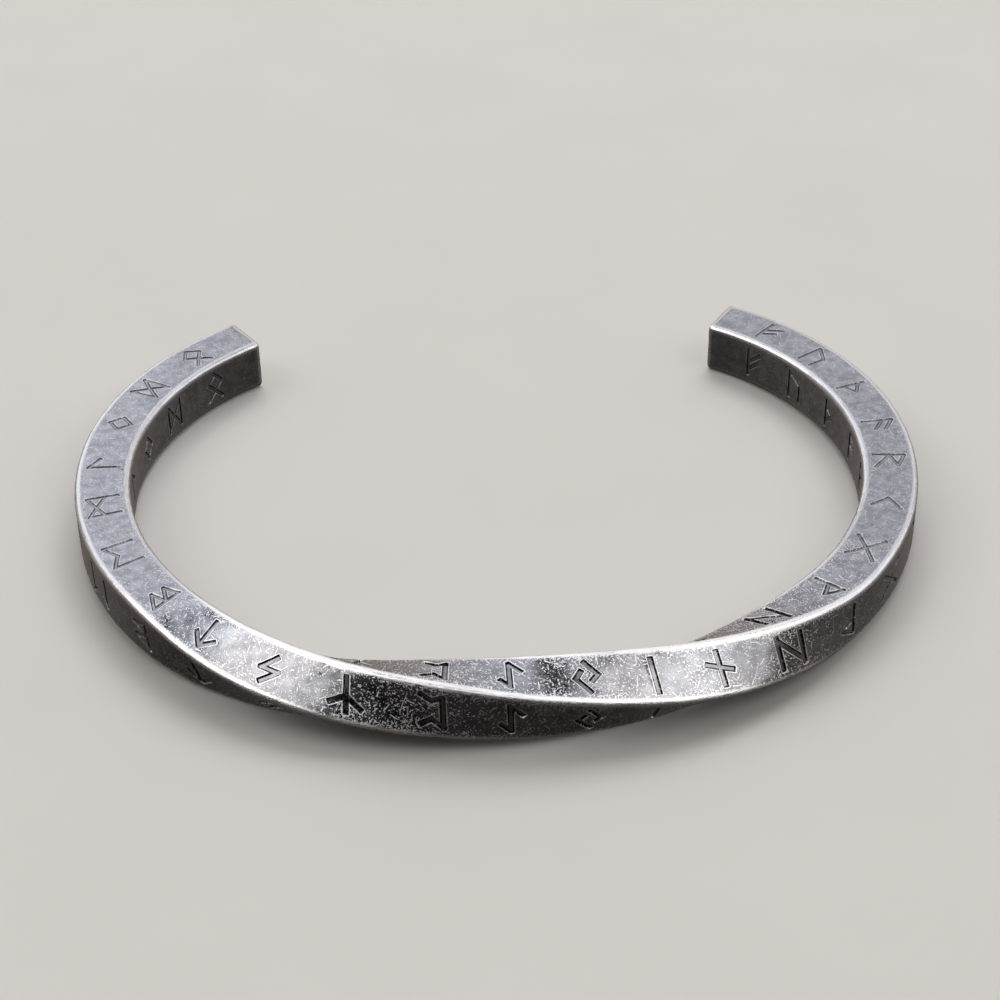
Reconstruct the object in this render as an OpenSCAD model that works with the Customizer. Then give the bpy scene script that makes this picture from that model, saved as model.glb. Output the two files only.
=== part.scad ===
// Open cuff bent from one square bar. The bar is twisted half a turn across the front,
// and a row of runes is sunk into each of its four faces. It lies as it rests on a table.

/* [Bar] */
// Thickness of the square bar
bar_w = 5; // [4.4:0.1:8]
// Strip that the bevel along each long edge takes off a face
edge_bevel = 0.35; // [0.1:0.05:0.7]
// Strip that the bevel around each cut end takes off
end_bevel = 0.3; // [0.1:0.05:0.7]

/* [Bend] */
// Inside radius of the shallow curve across the front
front_radius = 52.5; // [40:0.5:80]
// Angle that the front curve bends each way from the middle
front_turn = 11.3; // [5:0.1:20]
// Inside radius of the curve round each side
side_radius = 28.2; // [22:0.1:40]
// Angle that each side bends
side_turn = 84.7; // [70:0.1:95]
// Inside radius of the curve near each cut end
tail_radius = 24.4; // [18:0.1:34]
// Angle that each tail bends
tail_turn = 50.6; // [20:0.1:60]

/* [Twist] */
// Quarter turns in the twist
quarter_turns = 2; // [0:1:4]
// Length of bar that is twisted
twist_length = 69.5; // [50:0.5:90]
// How far the middle of the twist lies to the right of the middle of the front
twist_shift = -1.5; // [-5:0.1:5]
// Length over which the twist starts and dies out
twist_run_in = 8; // [2:0.5:20]

/* [Runes] */
// Bare strip between a rune and the bevelled edge of its face
rune_margin = 0.55; // [0.2:0.05:0.8]
// Width of a rune's strokes
stroke_w = 0.5; // [0.3:0.05:0.7]
// Depth of a rune's strokes
stroke_depth = 0.25; // [0.1:0.05:0.5]

/* [Smoothness] */
// Longest step between cross-sections along the bar
section_step = 2.5; // [2:0.5:5]

/* [Hidden] */

// The bend each way from the middle, as arcs of the bar's axis: radius, first and last heading
RADIUS = 0;
FIRST = 1;
LAST = 2;
ARCS = [
    [front_radius + bar_w / 2, 0, front_turn],
    [side_radius + bar_w / 2, front_turn, front_turn + side_turn],
    [tail_radius + bar_w / 2, front_turn + side_turn, front_turn + side_turn + tail_turn],
];

// The 24 runes of the old row in their usual order, which runs from the right end to the left.
// Columns: name, place along the bar as a share of half its length, and strokes as lines
// of points [along, up] in shares of the rune's height.
PLACE = 1;
STROKES = 2;
STAVE = [[0, 0], [0, 1]];
RUNES = [
    ["fehu", 0.925, [STAVE, [[0, 0.5], [0.52, 0.9]], [[0, 0.2], [0.44, 0.55]]]],
    ["uruz", 0.85, [[[0, 0], [0, 1], [0.6, 0.62], [0.6, 0]]]],
    ["thurisaz", 0.77, [STAVE, [[0, 0.78], [0.46, 0.5], [0, 0.22]]]],
    ["ansuz", 0.69, [STAVE, [[0, 1], [0.5, 0.68]], [[0, 0.66], [0.5, 0.34]]]],
    ["raidho", 0.616, [STAVE, [[0, 1], [0.6, 0.76], [0, 0.5], [0.74, 0.03]]]],
    ["kenaz", 0.535, [[[0.5, 0.95], [0, 0.5], [0.5, 0.05]]]],
    ["gebo", 0.445, [[[0, 0.05], [1.1, 0.95]], [[0, 0.95], [1.1, 0.05]]]],
    ["wunjo", 0.3575, [STAVE, [[0, 1], [0.53, 0.74], [0, 0.46]]]],
    ["hagalaz", 0.278, [[[0.04, 0], [0, 1]], [[0.86, 0], [0.82, 1]], [[0.02, 0.92], [0.85, 0.08]]]],
    ["naudiz", 0.199, [[[0.37, 0], [0.33, 1]], [[0, 0.58], [0.71, 0.35]]]],
    ["isa", 0.1335, [[[0.04, 0], [0, 1]]]],
    ["jera", 0.0673, [[[0.34, 0], [0, 0.4], [0.18, 0.6]], [[0.49, 0.31], [0.66, 0.56], [0.3, 0.98]]]],
    ["eihwaz", -0.0073, [[[0.59, 0.74], [0.32, 0.98], [0.34, 0], [0, 0.3]]]],
    ["perthro", -0.0832, [[[0.65, 0.94], [0.34, 0.75], [0, 0.99], [0.03, 0.03], [0.34, 0.16], [0.65, 0]]]],
    ["algiz", -0.1657, [[[0.48, 0], [0.39, 1]], [[0, 0.84], [0.43, 0.53], [0.87, 0.8]]]],
    ["sowilo", -0.246, [[[0.14, 0.13], [0.56, 0.55], [0, 0.54], [0.43, 0.95]]]],
    ["tiwaz", -0.3263, [[[0.4, 0.04], [0.36, 0.96]], [[0, 0.62], [0.36, 0.96], [0.73, 0.62]]]],
    ["berkano", -0.406, [[[0.1, 0], [0, 1]], [[0.1, 0], [0.65, 0.24], [0.06, 0.5], [0.61, 0.7], [0, 1]]]],
    ["ehwaz", -0.4965, [[[0.09, 0.04], [0, 1], [0.56, 0.69], [1.07, 1], [1.17, 0.04]]]],
    ["mannaz", -0.591, [[[0.06, 0], [0, 1]], [[1.06, 0], [0.98, 1]], [[0, 1], [1.02, 0.4]], [[0.98, 1], [0.03, 0.5]]]],
    ["laguz", -0.675, [STAVE, [[0, 1], [0.5, 0.66]]]],
    ["ingwaz", -0.757, [[[0, 0.5], [0.36, 0.88], [0.72, 0.5], [0.36, 0.12], [0, 0.5]]]],
    ["dagaz", -0.835, [[[0, 0], [0, 1], [0.8, 0], [0.8, 1], [0, 0]]]],
    ["othala", -0.92, [[[0, 0], [0.7, 0.66], [0.35, 1], [0, 0.66], [0.7, 0]]]],
];
rune_h = bar_w - 2 * (edge_bevel + rune_margin) - stroke_w;
// How far a rune's cutter stands above the face that it cuts
cutter_rise = bar_w / 8;

function total(list, i = 0) = i == len(list) ? 0 : list[i] + total(list, i + 1);
function join(lists) = [for (list = lists) for (item = list) item];

// The bend
function arc_length(arc) = arc[RADIUS] * (arc[LAST] - arc[FIRST]) * PI / 180;
function heading(run, i = 0) =
    let (arc = ARCS[i], reach = arc_length(arc))
    run <= reach || i == len(ARCS) - 1
        ? arc[FIRST] + run / arc[RADIUS] * 180 / PI
        : heading(run - reach, i + 1);
function turned(arc, angle) = min(max(angle, arc[FIRST]), arc[LAST]);
function axis_x(angle) = total([for (a = ARCS) a[RADIUS] * (sin(turned(a, angle)) - sin(a[FIRST]))]);
function axis_y(angle) = total([for (a = ARCS) a[RADIUS] * (cos(a[FIRST]) - cos(turned(a, angle)))]);
half_length = total([for (arc = ARCS) arc_length(arc)]);

// The twist: how far a cross-section has rolled, steady in the middle and easing off at both ends
function roll(s) =
    let (
        reach = twist_length / 2,
        ease = twist_run_in / reach,
        part = min(abs(s - twist_shift) / reach, 1),
        eased = part < 1 - ease ? part : part - pow(part - 1 + ease, 2) / (2 * ease)
    )
    -45 * quarter_turns * (1 + sign(s - twist_shift) * eased / (1 - ease / 2));

// A point of the bar: s runs along it from the middle of the front, and p is [outward, up]
// in the cross-section before it is twisted
function on_bar(s, p) =
    let (
        angle = heading(abs(s)),
        side = s < 0 ? -1 : 1,
        out = p.x * cos(roll(s)) - p.y * sin(roll(s)),
        up = p.x * sin(roll(s)) + p.y * cos(roll(s))
    )
    [side * (axis_x(angle) + out * sin(angle)), axis_y(angle) - out * cos(angle), up];

// A point of a cross-section: across is how far up the runes of that face it lies, and level is
// its distance from the bar's axis
function on_face(face, across, level) =
    let (a = 90 * face)
    [level * cos(a) + across * sin(a), level * sin(a) - across * cos(a)];

// One cross-section, as three points a face
function ring(s, half_w) = [
    for (face = [0:3])
        for (side = [1, 0, -1])
            on_bar(s, on_face(face, side * (half_w - edge_bevel), half_w))
];
steps = ceil(2 * (half_length - end_bevel) / section_step);
function station(i) = (2 * i / steps - 1) * (half_length - end_bevel);
RINGS = concat(
    [ring(-half_length, bar_w / 2 - end_bevel)],
    [for (i = [0:steps]) ring(station(i), bar_w / 2)],
    [ring(half_length, bar_w / 2 - end_bevel)]
);
SKIN = join(RINGS);

// How the cuff rests: it leans until the lowest points of its front and of its rear are level
y_middle = (min([for (p = SKIN) p.y]) + max([for (p = SKIN) p.y])) / 2;
FRONT = [for (p = SKIN) if (p.y < y_middle) p];
REAR = [for (p = SKIN) if (p.y >= y_middle) p];
function leant(p, lean) = [p.x, p.y * cos(lean) + p.z * sin(lean), p.z * cos(lean) - p.y * sin(lean)];
function lowest(points, lean) = min([for (p = points) leant(p, lean).z]);
function settle(low, high, rounds) =
    let (lean = (low + high) / 2)
    rounds == 0 ? lean
        : lowest(REAR, lean) > lowest(FRONT, lean) ? settle(lean, high, rounds - 1)
        : settle(low, lean, rounds - 1);
most_lean = 15;
rest_lean = settle(-most_lean, most_lean, 30);
LYING = [for (p = SKIN) leant(p, rest_lean)];
function middle(values) = (min(values) + max(values)) / 2;
rest_place = [
    -middle([for (p = LYING) p.x]),
    -middle([for (p = LYING) p.y]),
    -min([for (p = LYING) p.z]),
];

module plain_bar() {
    around = len(RINGS[0]);
    last = len(RINGS) - 1;
    sides = [
        for (i = [0:last - 1])
            for (j = [0:around - 1])
                let (a = i * around + j, b = i * around + (j + 1) % around)
                for (triangle = [[a, b, b + around], [a, b + around, a + around]]) triangle
    ];
    first_end = [for (j = [around + 1:-1:2]) j % around];
    last_end = [for (j = [1:around]) last * around + j % around];
    polyhedron(points = SKIN, faces = concat(sides, [first_end, last_end]));
}

// One straight stroke between two points of a rune, with square ends
module stroke(from, to) {
    way = to - from;
    translate(from)
        rotate(atan2(way.y, way.x))
            translate([-stroke_w / 2, -stroke_w / 2])
                square([norm(way) + stroke_w, stroke_w]);
}

// The outline of one rune, upright and centred on its place
module rune(strokes) {
    width = max([for (point = join(strokes)) point.x]);
    function spot(point) = [point.x - width / 2, point.y - 1 / 2] * rune_h;
    for (line = strokes)
        for (i = [1:len(line) - 1])
            stroke(spot(line[i - 1]), spot(line[i]));
}

// Puts a cutter on a face of the bar, at the depth of the strokes and with its top to the face's far edge
module stamp(face, s) {
    angle = heading(abs(s));
    side = s < 0 ? -1 : 1;
    translate([side * axis_x(angle), axis_y(angle), 0])
        rotate([90 - 90 * face - roll(s), 0, side * angle])
            translate([0, 0, bar_w / 2 - stroke_depth])
                rotate(180)
                    linear_extrude(stroke_depth + cutter_rise)
                        children();
}

module twisted_bar() {
    color([0.62, 0.63, 0.65])
        translate(rest_place)
            rotate([-rest_lean, 0, 0])
                difference() {
                    plain_bar();
                    for (face = [0:3])
                        for (row = RUNES)
                            stamp(face, row[PLACE] * half_length) rune(row[STROKES]);
                }
}

twisted_bar();
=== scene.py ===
"""Open cuff of square steel bar, twisted across the front, with a row of runes in each face.

A straight quarter of the bar is meshed with its stamped runes. Geometry Nodes repeat it round the
bar, wear it, twist it and bend it to the cuff's plan.
"""

from math import ceil, cos, hypot, pi, radians, sin, tan

import bpy
from mathutils import Matrix, Vector
from mathutils.geometry import delaunay_2d_cdt


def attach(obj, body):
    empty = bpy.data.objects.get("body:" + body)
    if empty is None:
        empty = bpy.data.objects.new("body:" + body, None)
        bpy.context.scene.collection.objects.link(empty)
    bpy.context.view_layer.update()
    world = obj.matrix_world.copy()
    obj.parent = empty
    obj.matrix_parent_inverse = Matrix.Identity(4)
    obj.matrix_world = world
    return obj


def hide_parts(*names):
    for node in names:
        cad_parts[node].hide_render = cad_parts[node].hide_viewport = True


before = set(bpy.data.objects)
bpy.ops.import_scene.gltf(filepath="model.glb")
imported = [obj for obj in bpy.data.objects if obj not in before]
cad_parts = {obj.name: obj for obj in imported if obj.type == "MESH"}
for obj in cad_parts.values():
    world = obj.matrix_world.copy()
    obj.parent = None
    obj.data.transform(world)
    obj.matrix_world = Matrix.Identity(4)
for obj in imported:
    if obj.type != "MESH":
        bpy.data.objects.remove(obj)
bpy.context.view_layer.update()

bl_info = {
    "name": "Runic Arm Ring",
    "version": (1, 0, 0),
    "blender": (4, 5, 0),
    "location": "View3D > Sidebar > Arm Ring",
    "description": "Builds an open cuff of twisted square bar with stamped runes, and a studio",
    "category": "Object",
}

MM = 0.001  # in metres
FACES = 4  # of the bar
SAME = 0.001  # points closer than this, in mm, are one

# The 24 runes of the old row in their usual order, from the right end to the left. Columns: name,
# place along the bar as a share of half its length, and strokes as lines of points (along, up) in
# shares of the rune's height.
STAVE = [(0, 0), (0, 1)]
RUNES = [
    ("fehu", 0.925, [STAVE, [(0, 0.5), (0.52, 0.9)], [(0, 0.2), (0.44, 0.55)]]),
    ("uruz", 0.85, [[(0, 0), (0, 1), (0.6, 0.62), (0.6, 0)]]),
    ("thurisaz", 0.77, [STAVE, [(0, 0.78), (0.46, 0.5), (0, 0.22)]]),
    ("ansuz", 0.69, [STAVE, [(0, 1), (0.5, 0.68)], [(0, 0.66), (0.5, 0.34)]]),
    ("raidho", 0.616, [STAVE, [(0, 1), (0.6, 0.76), (0, 0.5), (0.74, 0.03)]]),
    ("kenaz", 0.535, [[(0.5, 0.95), (0, 0.5), (0.5, 0.05)]]),
    ("gebo", 0.445, [[(0, 0.05), (1.1, 0.95)], [(0, 0.95), (1.1, 0.05)]]),
    ("wunjo", 0.3575, [STAVE, [(0, 1), (0.53, 0.74), (0, 0.46)]]),
    ("hagalaz", 0.278, [
        [(0.04, 0), (0, 1)], [(0.86, 0), (0.82, 1)], [(0.02, 0.92), (0.85, 0.08)]]),
    ("naudiz", 0.199, [[(0.37, 0), (0.33, 1)], [(0, 0.58), (0.71, 0.35)]]),
    ("isa", 0.1335, [[(0.04, 0), (0, 1)]]),
    ("jera", 0.0673, [
        [(0.34, 0), (0, 0.4), (0.18, 0.6)], [(0.49, 0.31), (0.66, 0.56), (0.3, 0.98)]]),
    ("eihwaz", -0.0073, [[(0.59, 0.74), (0.32, 0.98), (0.34, 0), (0, 0.3)]]),
    ("perthro", -0.0832, [
        [(0.65, 0.94), (0.34, 0.75), (0, 0.99), (0.03, 0.03), (0.34, 0.16), (0.65, 0)]]),
    ("algiz", -0.1657, [[(0.48, 0), (0.39, 1)], [(0, 0.84), (0.43, 0.53), (0.87, 0.8)]]),
    ("sowilo", -0.246, [[(0.14, 0.13), (0.56, 0.55), (0, 0.54), (0.43, 0.95)]]),
    ("tiwaz", -0.3263, [[(0.4, 0.04), (0.36, 0.96)], [(0, 0.62), (0.36, 0.96), (0.73, 0.62)]]),
    ("berkano", -0.406, [
        [(0.1, 0), (0, 1)], [(0.1, 0), (0.65, 0.24), (0.06, 0.5), (0.61, 0.7), (0, 1)]]),
    ("ehwaz", -0.4965, [[(0.09, 0.04), (0, 1), (0.56, 0.69), (1.07, 1), (1.17, 0.04)]]),
    ("mannaz", -0.591, [
        [(0.06, 0), (0, 1)], [(1.06, 0), (0.98, 1)],
        [(0, 1), (1.02, 0.4)], [(0.98, 1), (0.03, 0.5)]]),
    ("laguz", -0.675, [STAVE, [(0, 1), (0.5, 0.66)]]),
    ("ingwaz", -0.757, [[(0, 0.5), (0.36, 0.88), (0.72, 0.5), (0.36, 0.12), (0, 0.5)]]),
    ("dagaz", -0.835, [[(0, 0), (0, 1), (0.8, 0), (0.8, 1), (0, 0)]]),
    ("othala", -0.92, [[(0, 0), (0.7, 0.66), (0.35, 1), (0, 0.66), (0.7, 0)]]),
]

# Dark, pitted stains, and black patches of painted dark reflection where the front faces mirror
# the dark room: quarter of the bar, place along it, place across it and radius in mm, and strength
STAINS_AND_DARK_REFLECTIONS = [
    (3, -29.7, 1.5, 1.1, 0.6),
    (3, -28.4, -0.2, 1.1, 0.4),
    (3, -27.2, -1.8, 1.1, 0.7),
    (3, -16.85, 0.9, 0.5, 0.35),
    (3, -16.3, 0.0, 0.5, 0.45),
    (3, -15.8, -0.9, 0.55, 0.55),
    (3, -15.3, -1.9, 0.6, 0.6),
    (2, 21.6, 0.2, 1.6, 0.4),
    # Painted dark reflection: black patches where this face mirrors the dark room
    (3, -13.0, 0.9, 1.7, 1.0),
    (3, -12.7, -1.0, 0.9, 0.8),
    (3, -11.2, -0.5, 1.9, 1.0),
    (3, -9.0, 0.6, 2.0, 0.9),
    # Painted dark reflection: black patches where this face mirrors the dark room
    (2, 2.7, -1.0, 1.2, 1.0),
    (2, 3.1, 0.1, 1.5, 1.0),
    (2, 2.9, 1.2, 1.1, 1.0),
]
# Patches with more scratches: the same four columns, and how much more is rubbed through
SCUFFS = [
    (2, 13.5, 0.0, 8.5, 0.06),
]


def linear(hex_colour):
    """The linear colour of an sRGB hex value."""
    channels = [int(hex_colour[i : i + 2], 16) / 255 for i in (1, 3, 5)]
    return [c / 12.92 if c <= 0.04045 else ((c + 0.055) / 1.055) ** 2.4 for c in channels]


class CuffShape(bpy.types.PropertyGroup):
    """Sizes of the bar, its bend and its twist"""

    bar_width: bpy.props.FloatProperty(
        name="Bar width", description="Thickness of the square bar",
        default=5 * MM, subtype="DISTANCE", precision=5)
    burr_room: bpy.props.FloatProperty(
        name="Burr room", description="How far the faces lie inside the bar's width, for the burrs",
        default=0.04 * MM, subtype="DISTANCE", precision=6)
    edge_round: bpy.props.FloatProperty(
        name="Edge rounding", description="Radius that the long edges are rubbed to",
        default=0.42 * MM, subtype="DISTANCE", precision=5)
    end_round: bpy.props.FloatProperty(
        name="End rounding", description="Radius round each cut end",
        default=0.35 * MM, subtype="DISTANCE", precision=5)
    front_radius: bpy.props.FloatProperty(
        name="Front radius", description="Inside radius across the front",
        default=52.5 * MM, subtype="DISTANCE")
    front_turn: bpy.props.FloatProperty(
        name="Front turn", description="Angle that the front bends each way from the middle",
        default=radians(11.3), subtype="ANGLE")
    side_radius: bpy.props.FloatProperty(
        name="Side radius", description="Inside radius round each side",
        default=28.2 * MM, subtype="DISTANCE")
    side_turn: bpy.props.FloatProperty(
        name="Side turn", description="Angle that each side bends",
        default=radians(84.7), subtype="ANGLE")
    tail_radius: bpy.props.FloatProperty(
        name="Tail radius", description="Inside radius near each cut end",
        default=24.4 * MM, subtype="DISTANCE")
    tail_turn: bpy.props.FloatProperty(
        name="Tail turn", description="Angle that each tail bends",
        default=radians(50.6), subtype="ANGLE")
    quarter_turns: bpy.props.IntProperty(
        name="Quarter turns", description="Quarter turns in the twist", default=2, min=0, max=4)
    twist_length: bpy.props.FloatProperty(
        name="Twist length", description="Length of bar that is twisted",
        default=69.5 * MM, subtype="DISTANCE")
    twist_shift: bpy.props.FloatProperty(
        name="Twist shift",
        description="How far the twist's middle lies right of the front's middle",
        default=-1.5 * MM, subtype="DISTANCE")
    twist_run_in: bpy.props.FloatProperty(
        name="Twist run-in", description="Length over which the twist starts and dies out",
        default=8 * MM, subtype="DISTANCE")
    lean: bpy.props.FloatProperty(
        name="Lean", description="Angle that the cuff leans back by as it rests",
        default=radians(0.870898), subtype="ANGLE", precision=5)
    place: bpy.props.FloatVectorProperty(
        name="Place", description="Where the middle of the front's axis goes as the cuff rests",
        default=(0, -26.5754 * MM, 3.34542 * MM), subtype="TRANSLATION", precision=6)
    face_waves: bpy.props.FloatProperty(
        name="Face waves", description="Depth of the gentle unevenness of the faces",
        default=0.008 * MM, subtype="DISTANCE", precision=6)
    edge_wear: bpy.props.FloatProperty(
        name="Edge wear", description="Depth of the dents along the edges",
        default=0.04 * MM, subtype="DISTANCE", precision=6)
    mesh_step: bpy.props.FloatProperty(
        name="Mesh step", description="Longest step of the bar's mesh",
        default=0.4 * MM, subtype="DISTANCE", precision=5)


class RuneCut(bpy.types.PropertyGroup):
    """Sizes of the stamped runes"""

    height: bpy.props.FloatProperty(
        name="Rune height", description="Height of a rune between the middles of its strokes",
        default=2.7 * MM, subtype="DISTANCE", precision=5)
    stroke_width: bpy.props.FloatProperty(
        name="Stroke width", description="Width of a rune's strokes",
        default=0.5 * MM, subtype="DISTANCE", precision=5)
    depth: bpy.props.FloatProperty(
        name="Stroke depth", description="Depth of the strokes below the face",
        default=0.18 * MM, subtype="DISTANCE", precision=5)
    side_share: bpy.props.FloatProperty(
        name="Side share", description="Share of that depth that the runes on the sides have",
        default=0.5, min=0.1, max=1)
    burr: bpy.props.FloatProperty(
        name="Burr height", description="Height of the metal pushed up round a stroke",
        default=0.016 * MM, subtype="DISTANCE", precision=6)


class SteelFinish(bpy.types.PropertyGroup):
    """Colours of the antiqued steel"""

    patina: bpy.props.FloatVectorProperty(
        name="Patina", description="Colour of the thin dark oxide on the faces",
        default=linear("#85878e"), size=3, subtype="COLOR", min=0, max=1)
    bare_steel: bpy.props.FloatVectorProperty(
        name="Bare steel", description="Colour of the steel where it is rubbed bright",
        default=linear("#e4e4e6"), size=3, subtype="COLOR", min=0, max=1)
    # Also the colour of the patches of painted dark reflection on the front faces
    stain_and_dark_reflection: bpy.props.FloatVectorProperty(
        name="Stain", description="Colour of the black oxide in the runes and stains",
        default=linear("#0e0e10"), size=3, subtype="COLOR", min=0, max=1)


class StudioSetup(bpy.types.PropertyGroup):
    """Floor, lamps and camera"""

    floor_colour: bpy.props.FloatVectorProperty(
        name="Floor", description="Colour of the pale floor",
        default=linear("#d9d8d5"), size=3, subtype="COLOR", min=0, max=1)
    room_light: bpy.props.FloatProperty(
        name="Room light", description="Brightness of the room where it is darkest", default=0.06)
    room_glow: bpy.props.FloatProperty(
        name="Room glow", description="How much brighter the lit part of the room is", default=0.5)
    lens: bpy.props.FloatProperty(
        name="Lens", description="Focal length of the camera in millimetres", default=80.458)


# The kinds of node that are used most
MATH, VECTOR_MATH, MAP_RANGE = "ShaderNodeMath", "ShaderNodeVectorMath", "ShaderNodeMapRange"


def put(tree, kind, *values, inputs=None, **settings):
    """Adds a node with its settings and links, and returns its first output."""
    node = tree.nodes.new(kind)
    for name, value in settings.items():
        setattr(node, name, value)
    open_inputs = [socket for socket in node.inputs if socket.enabled]
    by_name = [(node.inputs[name], value) for name, value in (inputs or {}).items()]
    for socket, value in [*zip(open_inputs, values), *by_name]:
        if isinstance(value, bpy.types.NodeSocket):
            tree.links.new(value, socket)
        elif value is not None:
            socket.default_value = value
    return next((socket for socket in node.outputs if socket.enabled), node)


# The stamped runes, in mm: x runs along the bar and y across the face


def rune_strokes(place, lines, height, width):
    """The straight strokes of a rune, as (middle, direction, half length, half width)."""
    reach = max(point[0] for line in lines for point in line)
    strokes = []
    for line in lines:
        spots = [(place - (x - reach / 2) * height, (y - 0.5) * height) for x, y in line]
        for start, end in zip(spots, spots[1:]):
            way = Vector(end) - Vector(start)
            middle = (Vector(start) + Vector(end)) / 2
            strokes.append((middle, way.normalized(), (way.length + width) / 2, width / 2))
    return strokes


CORNER = 0.07  # how round the corners of a stroke's outline are
SPARE = 0.01  # share of a step that a side may be longer by without one more point


def distance(point, stroke):
    """Distance from a point to the outline of one stroke, negative inside it."""
    middle, way, half_length, half_width = stroke
    offset = Vector(point) - middle
    along = abs(offset.dot(way)) - half_length + CORNER
    across = abs(offset.x * way.y - offset.y * way.x) - half_width + CORNER
    return hypot(max(along, 0), max(across, 0)) + min(max(along, across), 0) - CORNER


def outline(stroke, grown, step):
    """The outline of a stroke, grown or shrunk, as a closed row of points."""
    middle, way, half_length, half_width = stroke
    side = Vector((-way.y, way.x))
    radius = max(CORNER + grown, 0)
    a, b = half_length + grown - radius, half_width + grown - radius
    corners = []
    for quarter, (x, y) in enumerate(((a, b), (-a, b), (-a, -b), (a, -b))):
        turns = [quarter * 90 + angle for angle in ((0, 30, 60, 90) if radius else (0,))]
        corners += [(x + radius * cos(radians(t)), y + radius * sin(radians(t))) for t in turns]
    points = []
    for (x0, y0), (x1, y1) in zip(corners, corners[1:] + corners[:1]):
        count = max(1, ceil(hypot(x1 - x0, y1 - y0) / step - SPARE))
        points += [(x0 + (x1 - x0) * i / count, y0 + (y1 - y0) * i / count) for i in range(count)]
    return [middle + way * x + side * y for x, y in points]


# Lines along a stroke's outline, from its floor over the wall and the burr to the plain face.
# Columns: distance from the outline, height as shares of the depth and of the burr, how deep the
# place counts as being, and how much burr shows.
STROKE_LINES = [
    (-0.155, -1, 0, 1, 0),
    (-0.075, -1, 0, 0.85, 0),
    (0, 0, 0.35, 0, 0.7),
    (0.045, 0, 1, 0, 1),
    (0.12, 0, 0, 0, 0),
]
FAR = 1.0  # a distance from the strokes at which the face is plain
CLEAR_INSIDE, CLEAR_OUTSIDE = 0.07, 0.1  # how far the mesh's own points stay from those lines
TILE_MARGIN = 0.06  # and how far the border of a rune's tile stays from them
OUTLINE_STEP = 0.8  # share of the mesh step from point to point along the lines
FRONT_REACH = 20  # the runes have their full depth this far from the front's middle,
FADE_LENGTH = 14  # and then fade to the depth of those on the sides
FAINT_WIDTH = 0.6  # share of the width that a stroke without depth would have
END_RING = 0.8  # share of a flat end that lies inside its ring of points


def stamped(away, depth, burr):
    """Height, depth mark and burr mark at a distance from the strokes."""
    if away <= STROKE_LINES[0][0]:
        return -depth, 1, 0
    for near, far in zip(STROKE_LINES, STROKE_LINES[1:]):
        if away <= far[0]:
            t = (away - near[0]) / (far[0] - near[0])
            low, raised, deep, mark = [n + (f - n) * t for n, f in zip(near[1:], far[1:])]
            return low * depth + raised * burr, deep, mark
    return 0, 0, 0


class Blank:
    """A straight quarter of the bar as points and faces, in mm. Each point also has its place on
    the unrolled bar, how deep in a stroke it counts as being, how much burr it shows, and how far
    it lies from the bar's edges."""

    def __init__(self):
        self.points, self.lay, self.deep, self.burr, self.rim = [], [], [], [], []
        self.faces, self.known = [], {}

    def point(self, s, across, up, lay, rim, deep=0, burr=0):
        """The number of a point, made if no point is there yet."""
        key = (round(s, 3), round(across, 3), round(up, 3))
        if key not in self.known:
            self.known[key] = len(self.points)
            self.points.append((s, -up, -across))
            self.lay.append(lay)
            self.deep.append(deep)
            self.burr.append(burr)
            self.rim.append(rim)
        return self.known[key]

    def face(self, corners, outward=None):
        """Adds a face that points away from the bar's axis, or outward."""
        corners = list(dict.fromkeys(corners))
        if len(corners) < 3:
            return
        spots = [Vector(self.points[c]) for c in corners]
        middle = sum(spots, Vector()) / len(spots)
        normal = Vector()
        for a, b in zip(spots, spots[1:] + spots[:1]):
            normal += (a - middle).cross(b - middle)
        if normal.dot(outward or Vector((0, middle.y, middle.z))) < 0:
            corners.reverse()
        self.faces.append(corners)


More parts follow.
